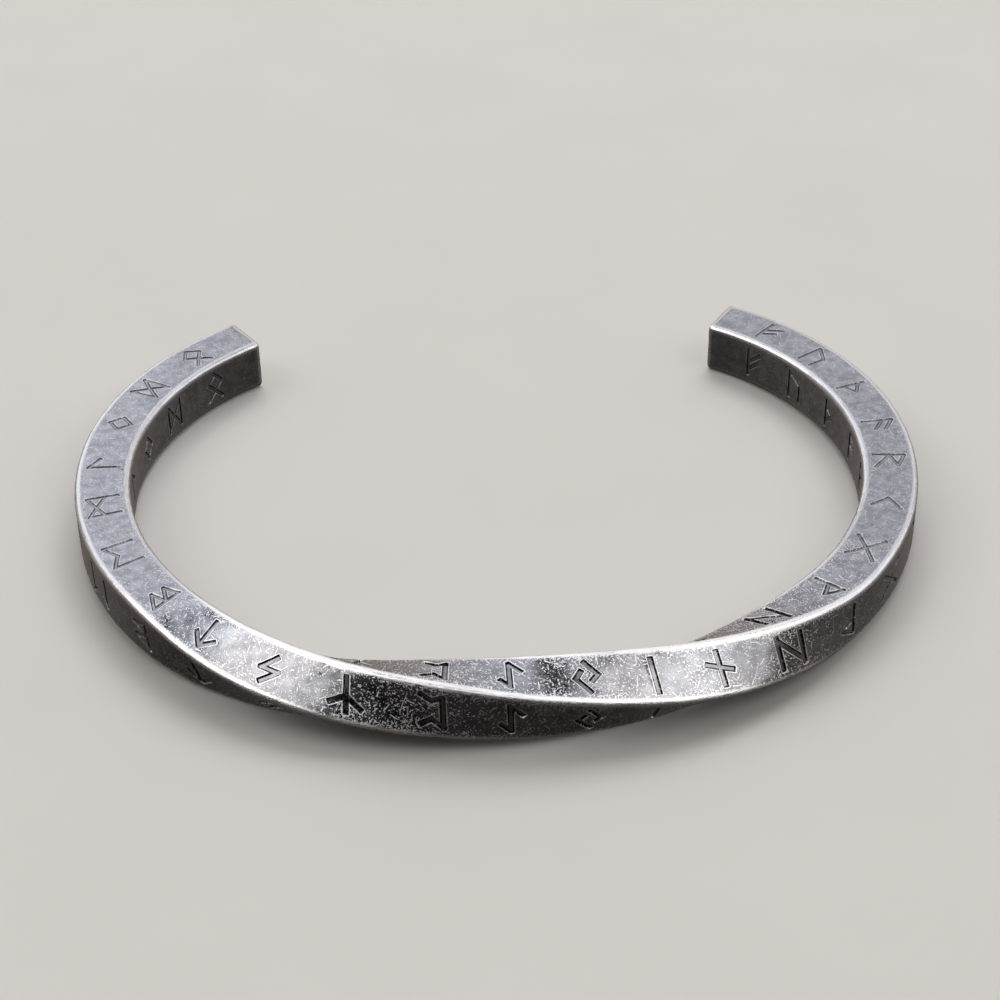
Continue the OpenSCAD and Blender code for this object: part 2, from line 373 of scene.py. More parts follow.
def bar_blank(shape, cut):
    """One quarter of the straight bar, with its stamped runes, as a mesh in metres."""
    level = shape.bar_width / MM / 2 - shape.burr_room / MM
    fillet, rounding = shape.edge_round / MM, shape.end_round / MM
    half_width = level - fillet
    half_length = sum(radius * turn for radius, turn in arcs(shape)) / MM
    straight = half_length - shape.burr_room / MM - rounding
    height, width = cut.height / MM, cut.stroke_width / MM
    depth, burr = cut.depth / MM, cut.burr / MM

    def fresh(s):
        """Share of the full depth that the runes have at s: they are fainter on the sides."""
        part = min(max((abs(s) - FRONT_REACH) / FADE_LENGTH, 0), 1)
        return 1 - (1 - cut.side_share) * part * part * (3 - 2 * part)

    step = shape.mesh_step / MM
    columns = ceil(2 * straight / step)
    rows = ceil(2 * half_width / step)
    xs = [straight * (2 * i / columns - 1) for i in range(columns + 1)]
    ys = [half_width * (2 * j / rows - 1) for j in range(rows + 1)]
    blank = Blank()

    def rim(s, across):
        """Distance from the middle of the nearest rounded edge."""
        to_side = half_width - abs(across) + fillet * pi / 4
        return min(to_side, straight - abs(s) + rounding * pi / 4)

    def plate(s, across, away=FAR):
        """The number of a point on the face, at a distance from the strokes."""
        lift, deep, mark = stamped(away, depth * fresh(s), burr * fresh(s))
        return blank.point(s, across, level + lift, (s, across), rim(s, across), deep, mark)

    # The face, a tile at a time: plain squares, or triangles round a rune's strokes
    margin = STROKE_LINES[-1][0] + TILE_MARGIN
    front = Vector((0, -1, 0))
    stamped_columns = set()
    for _, share_along, lines in RUNES:
        place = share_along * half_length
        share = FAINT_WIDTH + (1 - FAINT_WIDTH) * fresh(place)
        strokes = rune_strokes(place, lines, height, width * share)
        outlines = [outline(s, at[0], OUTLINE_STEP * step) for s in strokes for at in STROKE_LINES]
        reach = [point.x for line in outlines for point in line]
        first = max(i for i, x in enumerate(xs) if x < min(reach) - margin)
        last = min(i for i, x in enumerate(xs) if x > max(reach) + margin)
        stamped_columns.update(range(first, last))
        border = [(x, ys[0]) for x in xs[first:last]] + [(xs[last], y) for y in ys[:-1]]
        border += [(x, ys[-1]) for x in reversed(xs[first + 1 : last + 1])]
        border += [(xs[first], y) for y in reversed(ys[1:])]
        nearest, farthest = STROKE_LINES[0][0] - CLEAR_INSIDE, STROKE_LINES[-1][0] + CLEAR_OUTSIDE
        inner = [
            (x, y) for x in xs[first + 1 : last] for y in ys[1:-1]
            if not any(nearest < distance((x, y), s) < farthest for s in strokes)
        ]
        points, edges = [], []
        for loop in [border, *outlines]:
            base = len(points)
            points += [Vector(p) for p in loop]
            edges += [(base + i, base + (i + 1) % len(loop)) for i in range(len(loop))]
        points += [Vector(p) for p in inner]
        spots, _, triangles, *_ = delaunay_2d_cdt(points, edges, [], 0, SAME / 2)
        numbers = []
        for spot in spots:
            to_border = min(
                half_width - abs(spot.y), abs(spot.x - xs[first]), abs(spot.x - xs[last]))
            away = FAR if to_border < SAME else min(distance(spot, s) for s in strokes)
            numbers.append(plate(spot.x, spot.y, away))
        for triangle in triangles:
            blank.face([numbers[i] for i in triangle], front)
    for i in range(columns):
        if i not in stamped_columns:
            for j in range(rows):
                corners = ((i, j), (i + 1, j), (i + 1, j + 1), (i, j + 1))
                blank.face([plate(xs[a], ys[b]) for a, b in corners], front)

    # The rounded edge beside the face, up to where the next quarter starts
    profile = [(y, level, y, 0) for y in ys]
    for angle in (22.5, 45, 67.5, 90):
        turn = radians(angle)
        profile.append((
            half_width + fillet * sin(turn), half_width + fillet * cos(turn),
            half_width + fillet * turn, angle))

    def section(s, share, along):
        """The quarter's cross-section at s, shrunk to a share of its size."""
        numbers = []
        for across, up, lay, angle in profile:
            if angle:
                to_side = fillet * abs(radians(angle) - pi / 4)
            else:
                to_side = half_width - abs(across) + fillet * pi / 4
            to_end = abs(straight - along + rounding * pi / 4)
            unrolled = (along if s > 0 else -along, lay * share)
            numbers.append(
                blank.point(s, across * share, up * share, unrolled, min(to_side, to_end)))
        return numbers

    edge = [section(x, 1, abs(x))[rows:] for x in xs]
    for here, there in zip(edge, edge[1:]):
        for j in range(len(here) - 1):
            blank.face([here[j], here[j + 1], there[j + 1], there[j]])

    # The rounding round each end, and a quarter of the flat end
    for side in (-1, 1):
        last = section(side * straight, 1, straight)
        for angle in (30, 60, 90):
            turn = radians(angle)
            share = 1 - rounding * (1 - cos(turn)) / level
            s = side * (straight + rounding * sin(turn))
            ring = section(s, share, straight + rounding * turn)
            for j in range(len(ring) - 1):
                blank.face([last[j], last[j + 1], ring[j + 1], ring[j]])
            last = ring
        end = side * (straight + rounding)
        along = straight + rounding * pi / 2 + level * share * (1 - END_RING)
        inner = section(end, share * END_RING, along)
        centre = blank.point(end, 0, 0, (side * (straight + level), 0), level)
        outward = Vector((side, 0, 0))
        for j in range(len(inner) - 1):
            blank.face([last[j], last[j + 1], inner[j + 1], inner[j]], outward)
            blank.face([inner[j], inner[j + 1], centre], outward)

    mesh = bpy.data.meshes.new("bar_blank")
    mesh.from_pydata([[c * MM for c in p] for p in blank.points], [], blank.faces)
    for name, values in (("deep", blank.deep), ("burr", blank.burr), ("rim", blank.rim)):
        mesh.attributes.new(name, "FLOAT", "POINT").data.foreach_set("value", values)
    lay = mesh.attributes.new("lay", "FLOAT_VECTOR", "POINT")
    lay.data.foreach_set("vector", [c for u, v in blank.lay for c in (u, v, 0)])
    return mesh


def arcs(shape):
    """The bend each way from the front's middle, as (radius of the axis, angle)."""
    half = shape.bar_width / 2
    return [
        (shape.front_radius + half, shape.front_turn),
        (shape.side_radius + half, shape.side_turn),
        (shape.tail_radius + half, shape.tail_turn),
    ]


def girth(shape):
    """Length round a quarter of the bar's cross-section, in mm."""
    level = shape.bar_width / 2 - shape.burr_room
    return (2 * (level - shape.edge_round) + shape.edge_round * pi / 2) / MM


WAVES_PER_MM = 0.35  # of the faces' unevenness
DENTS_PER_MM = 0.9  # along the edges
DENTED = (0.45, 0.75)  # where the grain starts to be a dent, and where it is deepest
DENTED_EDGE = (0.25, 0.8)  # how far from an edge, in mm, the dents start to fade and end


def twist_and_bend_tree():
    """Geometry Nodes that repeat the blank round the bar, wear it, twist it and bend it."""
    tree = bpy.data.node_groups.new("Twist and bend", "GeometryNodeTree")
    tree.interface.new_socket("Geometry", in_out="OUTPUT", socket_type="NodeSocketGeometry")
    tree.interface.new_socket("Blank", in_out="INPUT", socket_type="NodeSocketGeometry")
    kinds = {"Faces": "Int", "Place": "Vector", "Material": "Material"}
    for name in (
        "Faces", "Quarter Girth", "Front Radius", "Front Turn", "Side Radius", "Side Turn",
        "Tail Radius", "Tail Turn", "Quarter Turns", "Twist Length", "Twist Shift", "Twist Run-in",
        "Lean", "Place", "Face Waves", "Edge Wear", "Wear Seed", "Material",
    ):
        kind = "NodeSocket" + kinds.get(name, "Float")
        tree.interface.new_socket(name, in_out="INPUT", socket_type=kind)
    given = put(tree, "NodeGroupInput").node.outputs

    # The quarter repeated round the bar
    points = put(tree, "GeometryNodePoints", given["Faces"])
    index = put(tree, "GeometryNodeInputIndex")
    points = put(
        tree, "GeometryNodeStoreNamedAttribute", points, None, "turn", index, data_type="FLOAT")
    quarter = put(tree, MATH, 2 * pi, given["Faces"], operation="DIVIDE")
    quarter = put(tree, MATH, index, quarter, operation="MULTIPLY")
    rotation = put(tree, "ShaderNodeCombineXYZ", quarter, 0.0, 0.0)
    bar = put(tree, "GeometryNodeInstanceOnPoints", inputs={
        "Points": points, "Instance": given["Blank"], "Rotation": rotation})
    bar = put(tree, "GeometryNodeRealizeInstances", bar)
    turn = put(tree, "GeometryNodeInputNamedAttribute", "turn", data_type="FLOAT")
    lay = put(tree, "GeometryNodeInputNamedAttribute", "lay", data_type="FLOAT_VECTOR")
    round_bar = put(tree, MATH, turn, given["Quarter Girth"], operation="MULTIPLY")
    round_bar = put(tree, "ShaderNodeCombineXYZ", 0.0, round_bar, 0.0)
    lay = put(tree, VECTOR_MATH, lay, round_bar, operation="ADD")
    bar = put(
        tree, "GeometryNodeStoreNamedAttribute", bar, None, "UVMap", lay,
        data_type="FLOAT2", domain="CORNER")
    for name in ("lay", "turn"):
        bar = put(tree, "GeometryNodeRemoveAttribute", bar, inputs={"Name": name})
    bar = put(tree, "GeometryNodeMergeByDistance", bar, inputs={"Distance": SAME * MM})

    # Wear: gentle waves in the faces and small dents along the edges, always inwards
    position = put(tree, "GeometryNodeInputPosition")
    rim = put(tree, "GeometryNodeInputNamedAttribute", "rim", data_type="FLOAT")
    waves = put(tree, "ShaderNodeTexNoise", noise_dimensions="4D", inputs={
        "Vector": position, "W": given["Wear Seed"], "Scale": WAVES_PER_MM / MM, "Detail": 1.0})
    dents = put(tree, "ShaderNodeTexNoise", noise_dimensions="4D", inputs={
        "Vector": position, "W": given["Wear Seed"], "Scale": DENTS_PER_MM / MM, "Detail": 2.0})
    dents = put(tree, MAP_RANGE, dents, *DENTED, 0.0, 1.0)
    near_edge = put(tree, MAP_RANGE, rim, *DENTED_EDGE, 1.0, 0.0, interpolation_type="SMOOTHSTEP")
    worn = put(tree, MATH, dents, near_edge, operation="MULTIPLY")
    worn = put(tree, MATH, worn, given["Edge Wear"], operation="MULTIPLY")
    waves = put(tree, MATH, waves, given["Face Waves"], operation="MULTIPLY")
    worn = put(tree, MATH, worn, waves, operation="ADD")
    worn = put(tree, MATH, worn, -1.0, operation="MULTIPLY")
    normal = put(tree, "GeometryNodeInputNormal")
    inwards = put(tree, VECTOR_MATH, normal, operation="SCALE", inputs={"Scale": worn})
    bar = put(tree, "GeometryNodeSetPosition", bar, inputs={"Offset": inwards})

    # The twist rolls each cross-section about the bar: the share of the half turn done at s grows
    # evenly, but for a run-in at each end of the twist
    parts = put(tree, "ShaderNodeSeparateXYZ", position).node.outputs
    s = parts["X"]
    reach = put(tree, MATH, given["Twist Length"], 2.0, operation="DIVIDE")
    ease = put(tree, MATH, given["Twist Run-in"], reach, operation="DIVIDE")
    from_middle = put(tree, MATH, s, given["Twist Shift"], operation="SUBTRACT")
    part = put(tree, MATH, from_middle, operation="ABSOLUTE")
    part = put(tree, MATH, part, reach, operation="DIVIDE")
    part = put(tree, MATH, part, 1.0, operation="MINIMUM")
    past = put(tree, MATH, part, ease, operation="ADD")
    past = put(tree, MATH, past, 1.0, operation="SUBTRACT")
    past = put(tree, MATH, past, 0.0, operation="MAXIMUM")
    slack = put(tree, MATH, past, past, operation="MULTIPLY")
    two_eases = put(tree, MATH, ease, 2.0, operation="MULTIPLY")
    slack = put(tree, MATH, slack, two_eases, operation="DIVIDE")
    whole = put(tree, MATH, ease, 2.0, operation="DIVIDE")
    whole = put(tree, MATH, 1.0, whole, operation="SUBTRACT")
    eased = put(tree, MATH, part, slack, operation="SUBTRACT")
    eased = put(tree, MATH, eased, whole, operation="DIVIDE")
    swing = put(tree, MATH, from_middle, operation="SIGN")
    swing = put(tree, MATH, swing, eased, operation="MULTIPLY")
    swing = put(tree, MATH, swing, 1.0, operation="ADD")
    roll = put(tree, MATH, given["Quarter Turns"], pi / 4, operation="MULTIPLY")
    roll = put(tree, MATH, roll, swing, operation="MULTIPLY")
    section = put(tree, "ShaderNodeCombineXYZ", 0.0, parts["Y"], parts["Z"])
    section = put(
        tree, "ShaderNodeVectorRotate", section, rotation_type="X_AXIS", inputs={"Angle": roll})

    # The bend carries it along three arcs, the same each way from the front's middle
    along = put(tree, MATH, s, operation="ABSOLUTE")
    side = put(tree, MATH, s, operation="SIGN")
    heading, x, y = 0.0, 0.0, 0.0
    started, start = 0.0, 0.0
    for name in ("Front", "Side", "Tail"):
        radius, turn = given[f"{name} Radius"], given[f"{name} Turn"]
        turned = put(tree, MATH, along, start, operation="SUBTRACT")
        turned = put(tree, MATH, turned, radius, operation="DIVIDE")
        turned = put(tree, MATH, turned, 0.0, operation="MAXIMUM")
        if name != "Tail":
            turned = put(tree, MATH, turned, turn, operation="MINIMUM")
        angle = put(tree, MATH, started, turned, operation="ADD")
        near_sine = put(tree, MATH, started, operation="SINE")
        far_sine = put(tree, MATH, angle, operation="SINE")
        reached = put(tree, MATH, far_sine, near_sine, operation="SUBTRACT")
        x = put(tree, MATH, reached, radius, x, operation="MULTIPLY_ADD")
        near_cosine = put(tree, MATH, started, operation="COSINE")
        far_cosine = put(tree, MATH, angle, operation="COSINE")
        risen = put(tree, MATH, near_cosine, far_cosine, operation="SUBTRACT")
        y = put(tree, MATH, risen, radius, y, operation="MULTIPLY_ADD")
        heading = put(tree, MATH, heading, turned, operation="ADD")
        start = put(tree, MATH, radius, turn, start, operation="MULTIPLY_ADD")
        started = put(tree, MATH, started, turn, operation="ADD")
    heading = put(tree, MATH, heading, side, operation="MULTIPLY")
    section = put(
        tree, "ShaderNodeVectorRotate", section, rotation_type="Z_AXIS", inputs={"Angle": heading})
    x = put(tree, MATH, x, side, operation="MULTIPLY")
    axis = put(tree, "ShaderNodeCombineXYZ", x, y, 0.0)
    bent = put(tree, VECTOR_MATH, axis, section, operation="ADD")
    lean = put(tree, MATH, given["Lean"], -1.0, operation="MULTIPLY")
    leant = put(
        tree, "ShaderNodeVectorRotate", bent, rotation_type="X_AXIS", inputs={"Angle": lean})
    placed = put(tree, VECTOR_MATH, leant, given["Place"], operation="ADD")
    bar = put(tree, "GeometryNodeSetPosition", bar, inputs={"Position": placed})

    bar = put(tree, "GeometryNodeRealizeInstances", bar)
    bar = put(tree, "GeometryNodeSetMaterial", bar, inputs={"Material": given["Material"]})
    put(tree, "NodeGroupOutput", bar)
    return tree


# Grains of the metal: name, size in mm, detail and roughness
GRAINS = [
    ("patches", 3.2, 3.0, 0.5),
    ("blotches", 0.9, 2.0, 0.5),
    ("flecks", 0.15, 2.0, 0.6),
    ("pits", 0.42, 3.0, 0.6),
    ("fine", 0.3, 3.0, 0.6),
]
# Scratches by length: cell that holds one, half their width and half the longest one's length in
# mm, and the least random value of a cell that shows its scratch. The thinnest real ones are too
# fine to show, so these are drawn as wide as they need to be.
SCRATCHES = [
    (0.24, 0.045, 0.07, 0.74),
    (0.42, 0.036, 0.18, 0.6),
    (0.8, 0.034, 0.42, 0.62),
    (1.9, 0.032, 1.1, 0.78),
]
BENDS_PER_MM = 0.8  # along a scratch,
BENT_BY = 0.35  # in mm
STREAKS_PER_MM = (0.35, 9.0, 1.0)  # along the rubbed edges and across them
WORN_FRONT = (20.0, 38.0)  # mm from the front's middle where the wear starts to fade and ends
SIDE_WEAR = 0.32  # share of the wear that is left there
BARE_EDGE = (0.64, 0.8)  # how far from an edge, in mm, it stops being bare and is all patina
SPOT_FADE = (0.3, 1.4)  # shares of a spot's radius where it starts to fade and ends
FLECKS_FROM_TO = (0.825, 0.865)  # where the grain starts to be a bare fleck, and where it is one
PATINA_SHADES = (0.8, 1.17)  # its darkest and palest clouds, as shares of its colour
PATINA_ROUGHNESS = (0.13, 0.2)
OXIDE_ROUGHNESS = 0.3
EDGE_ROUGHNESS = 0.3
TORN_ROUGHNESS = 0.44  # of the scratches and burrs
GRAIN_HEIGHT = 0.008  # in mm


def antiqued_steel(finish, quarter_girth):
    """Stainless steel bar, blackened and then tumbled: a thin glassy dark oxide that mirrors the
    lamps, rubbed to bare bright metal along the edges and round the runes, with short scratches and
    flecks of bare metal all over and black oxide left in the strokes."""
    material = bpy.data.materials.new("antiqued_steel")
    material.use_nodes = True
    tree = material.node_tree
    tree.nodes.clear()

    # Millimetres along the bar and round it, and millimetres in space
    lay = put(tree, "ShaderNodeUVMap", uv_map="UVMap")
    space = put(tree, "ShaderNodeTexCoord").node.outputs["Object"]
    space = put(tree, VECTOR_MATH, space, operation="SCALE", inputs={"Scale": 1 / MM})
    deep = put(tree, "ShaderNodeAttribute", attribute_name="deep").node.outputs["Fac"]
    burr = put(tree, "ShaderNodeAttribute", attribute_name="burr").node.outputs["Fac"]
    rim = put(tree, "ShaderNodeAttribute", attribute_name="rim").node.outputs["Fac"]
    grains = {}
    for name, size, detail, roughness in GRAINS:
        grains[name] = put(tree, "ShaderNodeTexNoise", inputs={
            "Vector": space, "Scale": 1 / size, "Detail": detail, "Roughness": roughness})

    # The front is worn more than the sides
    front = put(tree, "ShaderNodeSeparateXYZ", lay)
    front = put(tree, MATH, front, operation="ABSOLUTE")
    front = put(tree, MAP_RANGE, front, *WORN_FRONT, 1.0, SIDE_WEAR)

    def spots(places):
        """Round spots that fade out, the strongest of them at each point."""
        covered = 0.0
        for quarter, along, across, radius, strength in places:
            middle = (along, quarter * quarter_girth + across, 0.0)
            spot = put(tree, VECTOR_MATH, lay, middle, operation="DISTANCE")
            spot = spot.node.outputs["Value"]
            fade = [radius * share for share in SPOT_FADE]
            spot = put(tree, MAP_RANGE, spot, *fade, strength, 0.0)
            covered = put(tree, MATH, spot, covered, operation="MAXIMUM")
        return covered

    # Stains, and the black patches of painted dark reflection on the front faces
    stain_and_dark_reflection, scuffed = spots(STAINS_AND_DARK_REFLECTIONS), spots(SCUFFS)
    pitted = put(tree, MATH, stain_and_dark_reflection, 0.3, grains["pits"], operation="MULTIPLY_ADD")
    pitted = put(tree, MAP_RANGE, pitted, 0.7, 0.78, 0.0, 0.9)

    # Bare metal along the rubbed edges, with a ragged border and fine streaks along it
    edge = put(tree, MATH, grains["flecks"], 0.3, rim, operation="MULTIPLY_ADD")
    edge = put(tree, MATH, grains["blotches"], 0.3, edge, operation="MULTIPLY_ADD")
    edge = put(tree, MAP_RANGE, edge, *BARE_EDGE, 1.0, 0.0)
    drawn_out = put(tree, VECTOR_MATH, lay, STREAKS_PER_MM, operation="MULTIPLY")
    streaks = put(
        tree, "ShaderNodeTexNoise", inputs={"Vector": drawn_out, "Scale": 1.0, "Detail": 1.0})
    streaks = put(tree, MAP_RANGE, streaks, 0.35, 0.5, 0.7, 1.0)
    edge_share = put(tree, MATH, front, 0.7, 0.3, operation="MULTIPLY_ADD")
    edge = put(tree, MATH, edge, streaks, operation="MULTIPLY")
    edge = put(tree, MATH, edge, edge_share, operation="MULTIPLY")

    # How much the patina is rubbed through, from place to place
    near_edge = put(tree, MAP_RANGE, rim, 0.4, 1.1, 0.09, 0.0)
    rubbed = put(tree, MATH, grains["patches"], 0.35, near_edge, operation="MULTIPLY_ADD")
    rubbed = put(tree, MATH, stain_and_dark_reflection, 0.05, rubbed, operation="MULTIPLY_ADD")
    rubbed = put(tree, MATH, rubbed, scuffed, operation="ADD")

    # Flecks of bare metal, and short scratches: in each cell of a jittered grid lies one straight
    # line of its own direction, on ground that is bent a little so that the lines curve
    flecks = put(tree, MATH, grains["flecks"], rubbed, operation="ADD")
    marks = put(tree, MAP_RANGE, flecks, *FLECKS_FROM_TO, 0.0, 0.9)
    bent = put(
        tree, "ShaderNodeTexNoise", inputs={"Vector": lay, "Scale": BENDS_PER_MM, "Detail": 1.0})
    bent = bent.node.outputs["Color"]
    bent = put(tree, VECTOR_MATH, bent, (BENT_BY, BENT_BY, 0.0), lay, operation="MULTIPLY_ADD")
    for cell, half_width, half_length, least in SCRATCHES:
        shift = (cell * 7,) * 3  # so that no two grids line up
        cells = put(tree, VECTOR_MATH, bent, (1 / cell,) * 3, shift, operation="MULTIPLY_ADD")
        seeds = put(
            tree, "ShaderNodeTexVoronoi", cells, voronoi_dimensions="2D", inputs={"Scale": 1.0})
        seeds = seeds.node.outputs
        random = put(tree, "ShaderNodeSeparateColor", seeds["Color"]).node.outputs
        angle = put(tree, MATH, random["Red"], 2 * pi, operation="MULTIPLY")
        line = put(tree, VECTOR_MATH, cells, seeds["Position"], operation="SUBTRACT")
        line = put(
            tree, "ShaderNodeVectorRotate", line, rotation_type="Z_AXIS", inputs={"Angle": angle})
        line = put(tree, VECTOR_MATH, line, operation="ABSOLUTE")
        line = put(tree, "ShaderNodeSeparateXYZ", line).node.outputs
        width = half_width / cell
        thin = put(tree, MAP_RANGE, line["Y"], 0.4 * width, 1.4 * width, 1.0, 0.0)
        length = put(tree, MATH, random["Green"], half_length / cell, operation="MULTIPLY")
        ends = put(tree, MATH, line["X"], length, operation="SUBTRACT")
        ends = put(tree, MAP_RANGE, ends, -0.05, 0.02, 1.0, 0.0)
        kept = put(tree, MATH, random["Blue"], rubbed, operation="ADD")
        kept = put(tree, MAP_RANGE, kept, least, least + 0.25, 0.0, 1.0)
        scratch = put(tree, MATH, thin, ends, operation="MULTIPLY")
        scratch = put(tree, MATH, scratch, kept, operation="MULTIPLY")
        marks = put(tree, MATH, scratch, marks, operation="MAXIMUM")

    # Few of them reach into the strokes, but the burrs round the strokes are rubbed bright
    on_face = put(tree, MATH, deep, -0.85, 1.0, operation="MULTIPLY_ADD")
    marks = put(tree, MATH, marks, on_face, operation="MULTIPLY")
    ridge = put(tree, MATH, grains["blotches"], 0.8, burr, operation="MULTIPLY_ADD")
    ridge = put(tree, MAP_RANGE, ridge, 0.9, 1.25, 0.0, 0.9)
    torn = put(tree, MATH, marks, ridge, operation="MAXIMUM")
    torn = put(tree, MATH, torn, front, operation="MULTIPLY")
    bare = put(tree, MATH, torn, edge, operation="MAXIMUM")

    # Black oxide in the walls of the strokes, thin on their floors but thicker in the stains, in
    # the pits of the stains, and over the stains themselves, which on the front faces is painted
    # dark reflection
    wall = put(tree, MATH, deep, 2.0, -1.0, operation="MULTIPLY_ADD")
    wall = put(tree, MATH, wall, operation="ABSOLUTE")
    wall = put(tree, MAP_RANGE, wall, 0.8, 0.97, 1.0, 0.0)
    bottom = put(tree, MATH, stain_and_dark_reflection, 1.2, 0.15, operation="MULTIPLY_ADD")
    bottom = put(tree, MATH, deep, bottom, operation="MULTIPLY")
    stroke = put(tree, MATH, wall, bottom, operation="MAXIMUM")
    stroke_share = put(tree, MATH, front, 0.4, 0.6, operation="MULTIPLY_ADD")
    stroke = put(tree, MATH, stroke, stroke_share, operation="MULTIPLY")
    # The stains go black, so on the front faces this paints the dark reflection
    black = put(tree, MATH, stain_and_dark_reflection, 0.75, operation="MULTIPLY")
    black = put(tree, MATH, pitted, black, operation="MAXIMUM")
    black = put(tree, MATH, stroke, black, operation="MAXIMUM")
    dull = put(tree, MATH, 1.0, bare, operation="SUBTRACT")
    black = put(tree, MATH, black, dull, operation="MULTIPLY")

    clouds = put(tree, MAP_RANGE, grains["blotches"], 0.35, 0.65, 0.0, 1.0)
    shades = [(*[channel * share for channel in finish.patina], 1) for share in PATINA_SHADES]
    colour = put(tree, "ShaderNodeMix", clouds, *shades, data_type="RGBA")
    colour = put(tree, "ShaderNodeMix", black, colour, (*finish.stain_and_dark_reflection, 1), data_type="RGBA")
    colour = put(tree, "ShaderNodeMix", bare, colour, (*finish.bare_steel, 1), data_type="RGBA")
    rough = put(tree, MAP_RANGE, grains["fine"], 0.3, 0.7, *PATINA_ROUGHNESS)
    rough = put(tree, "ShaderNodeMix", black, rough, OXIDE_ROUGHNESS)
    rough = put(tree, "ShaderNodeMix", edge, rough, EDGE_ROUGHNESS)
    rough = put(tree, "ShaderNodeMix", torn, rough, TORN_ROUGHNESS)

    # Grain of the patina, thousandths of a millimetre high, with the scratches cut into it
    height = put(tree, MATH, torn, -1.2, grains["fine"], operation="MULTIPLY_ADD")
    height = put(tree, MATH, grains["flecks"], 0.3, height, operation="MULTIPLY_ADD")
    bumps = put(tree, "ShaderNodeBump", inputs={
        "Strength": 1.0, "Distance": GRAIN_HEIGHT * MM, "Height": height})

    steel = put(tree, "ShaderNodeBsdfPrincipled", inputs={
        "Base Color": colour, "Metallic": 1.0, "Roughness": rough, "Normal": bumps})
    put(tree, "ShaderNodeOutputMaterial", steel)
    return material


WEAR_SEED = 4.0
SHARP_ANGLE = 50  # degrees between two faces from which their edge isn't smoothed
LEAST_WHOLE = 3.9  # times the blank's faces that a whole bar has at least


class ARMRING_OT_twisted_bar(bpy.types.Operator):
    """Makes the cuff: the stamped square bar, worn, twisted and bent"""

    bl_idname = "armring.twisted_bar"
    bl_label = "Twisted bar"

    def execute(self, context):
        shape, cut = context.scene.cuff_shape, context.scene.rune_cut
        ring = bpy.data.objects.new("arm_ring", bar_blank(shape, cut))
        context.collection.objects.link(ring)
        tree = twist_and_bend_tree()
        sizes = {
            "Faces": FACES, "Quarter Girth": girth(shape),
            "Quarter Turns": float(shape.quarter_turns), "Twist Length": shape.twist_length,
            "Twist Shift": shape.twist_shift, "Twist Run-in": shape.twist_run_in,
            "Lean": shape.lean, "Place": list(shape.place), "Face Waves": shape.face_waves,
            "Edge Wear": shape.edge_wear, "Wear Seed": WEAR_SEED,
            "Material": antiqued_steel(context.scene.steel_finish, girth(shape)),
        }
        for name, (radius, turn) in zip(("Front", "Side", "Tail"), arcs(shape)):
            sizes[f"{name} Radius"] = radius
            sizes[f"{name} Turn"] = turn
        modifier = ring.modifiers.new("Twist and bend", "NODES")
        modifier.node_group = tree
        for item in tree.interface.items_tree:
            if item.in_out == "INPUT" and item.name in sizes:
                modifier[item.identifier] = sizes[item.name]
        context.view_layer.update()
        graph = context.evaluated_depsgraph_get()
        mesh = bpy.data.meshes.new_from_object(
            ring.evaluated_get(graph), preserve_all_data_layers=True, depsgraph=graph)
        if len(mesh.polygons) < LEAST_WHOLE * len(ring.data.polygons):
            raise RuntimeError("the bar did not come out of its nodes whole")
        ring.modifiers.clear()
        ring.data = mesh
        mesh.name = "arm_ring"
        mesh.shade_smooth()
        mesh.set_sharp_from_angle(angle=radians(SHARP_ANGLE))
        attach(ring, "root")
        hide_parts("twisted_bar")
        return {"FINISHED"}


# Soft cards that only the steel mirrors: name, azimuths and elevations in degrees seen from the
# cuff, brightness and tint
DAYLIGHT, LAMPLIGHT = (0.9, 0.975, 1.07), (1.0, 0.965, 0.91)
CARDS = [
    ("backdrop", (8, 45), (2, 57), 0.72, DAYLIGHT),
    ("middle_backdrop", (-5, 8), (2, 57), 0.55, DAYLIGHT),
    ("left_backdrop", (-42, -6), (2, 57), 1.1, DAYLIGHT),
    ("left_bridge", (-61, -42), (20, 74), 1.1, DAYLIGHT),
    ("left_softbox", (-134, -63), (18, 66), 2.6, LAMPLIGHT),
    ("left_card", (-147, -137), (28, 46), 2.3, LAMPLIGHT),
    ("front_card", (148, 200), (26, 54), 1.3, DAYLIGHT),
    ("side_card", (50, 103), (6, 50), 1.15, DAYLIGHT),
    ("right_softbox", (104, 148), (27, 66), 2.6, LAMPLIGHT),
    ("right_low_card", (104, 148), (5, 28), 1.6, LAMPLIGHT),
    ("right_high_card", (80, 155), (66, 84), 1.75, LAMPLIGHT),
    ("top_panel", (-40, 60), (62, 88), 0.75, DAYLIGHT),
]
CARD_AWAY = 0.9  # metres from the cuff
# Soft lamps that light the floor: name, azimuth and elevation in degrees, distance, width and
# height in metres, and brightness
LAMP_TINT = (0.95, 0.985, 1.0)
LAMPS = [
    ("key", 10, 58, 1.2, 0.9, 0.7, 3.4),
    ("fill_left", -95, 50, 1.2, 0.7, 0.7, 1.6),
    ("fill_right", 125, 50, 1.2, 0.7, 0.7, 1.5),
]
FLOOR_REACH = 4.0  # metres from its middle to each side
PAPER_SHADES = (0.97, 1.03)  # its clouds, as shares of its colour
CLOUDS_PER_METRE = 60.0
# The room's tint, and where a line of sight goes from dark to bright, by how far it points to the
# far side and by how far it points up
ROOM_TINT = (1.0, 0.86, 0.77, 1)
FAR_SIDE = (-0.75, 0.45)
UPWARDS = (-0.75, -0.1)
# The camera's place, and how many degrees it is panned, tipped up from straight down, and rolled
CAMERA_PLACE = (-7.7492 * MM, -160.9731 * MM, 121.908 * MM)
CAMERA_PAN, CAMERA_TIP, CAMERA_ROLL = -2.7739, 90 - 36.3121, -0.724
SENSOR_WIDTH = 36
CLIP_START, CLIP_END = 0.01, 20


